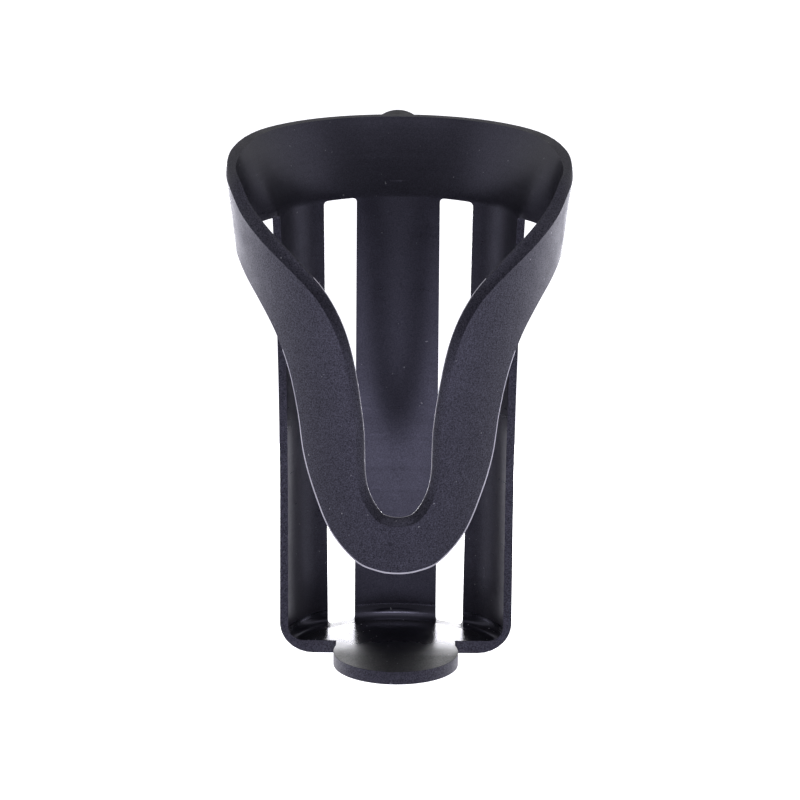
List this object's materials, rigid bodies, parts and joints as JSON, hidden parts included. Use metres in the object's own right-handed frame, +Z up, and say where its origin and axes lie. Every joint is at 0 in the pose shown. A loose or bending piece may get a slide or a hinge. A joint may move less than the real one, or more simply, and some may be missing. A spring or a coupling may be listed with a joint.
{
  "type": "desk clamp cup holder",
  "caption": "Open cup cage with a flared collar and front loop, on a swivelling dovetail carrier and a screw clamp for a desk edge.",
  "frame": {"origin": "on the cup axis at the underside of the cage floor", "axes": "+Z up along the cup axis, -Y towards the open front loop, +Y towards the desk, +X to the right seen from the front"},
  "size_m": [0.1044, 0.1621, 0.1644],
  "materials": {
    "cage_plastic": "fine matte grain outside, smoother inside",
    "clamp_plastic": "glass filled nylon, fine grain",
    "gloss_cap": "satin moulded cap",
    "pad_rubber": "matte moulded rubber",
    "zinc_steel": "bright zinc plating",
    "insert_brass": "turned",
    "natural_nylon": "smooth"
  },
  "bodies": {
    "clamp": {"clamp_frame": "clamp_plastic", "upper_jaw": "clamp_plastic", "jaw_screws": "zinc_steel", "upper_pad": "pad_rubber", "spine_pad": "pad_rubber", "screw_insert": "insert_brass", "stop_pin": "zinc_steel", "pivot_bolt": "zinc_steel", "pivot_washer": "zinc_steel", "pivot_nut": "zinc_steel", "wave_washer": "zinc_steel", "hub_cap": "gloss_cap"},
    "swivel": {"swivel_carrier": "clamp_plastic", "friction_ring": "natural_nylon"},
    "cage": {"cup_cage": "cage_plastic"},
    "thrust": {"ball_bush": "natural_nylon"},
    "foot": {"foot_cup": "clamp_plastic", "foot_pad": "pad_rubber"},
    "screw": {"clamp_screw": "zinc_steel", "e_clip": "zinc_steel", "knob": "clamp_plastic", "knob_cap": "gloss_cap"}
  },
  "joints": [
    {"name": "holder_swivel", "type": "hinge", "parent": "clamp", "child": "swivel", "pos_m": [0, 0.064, 0.1515], "axis": [0, 1, 0], "range_deg": [-90, 90]},
    {"name": "cage_lift", "type": "slide", "parent": "swivel", "child": "cage", "axis": [0, 0, 1], "range_m": [0, 0.05]},
    {"name": "screw_travel", "type": "slide", "parent": "clamp", "child": "thrust", "axis": [0, 0, 1], "range_m": [-0.018, 0.026]},
    {"name": "screw_spin", "type": "hinge", "parent": "thrust", "child": "screw", "pos_m": [0, 0.098, 0.092], "axis": [0, 0, 1], "range_deg": [-5190, 7490]},
    {"name": "foot_tilt", "type": "hinge", "parent": "thrust", "child": "foot", "pos_m": [0, 0.098, 0.092], "axis": [1, 0, 0], "range_deg": [-6, 6]}
  ],
  "couplings": [
    {"joint": "screw_spin", "follows": "screw_travel", "rad_per_m": 5026.5}
  ]
}
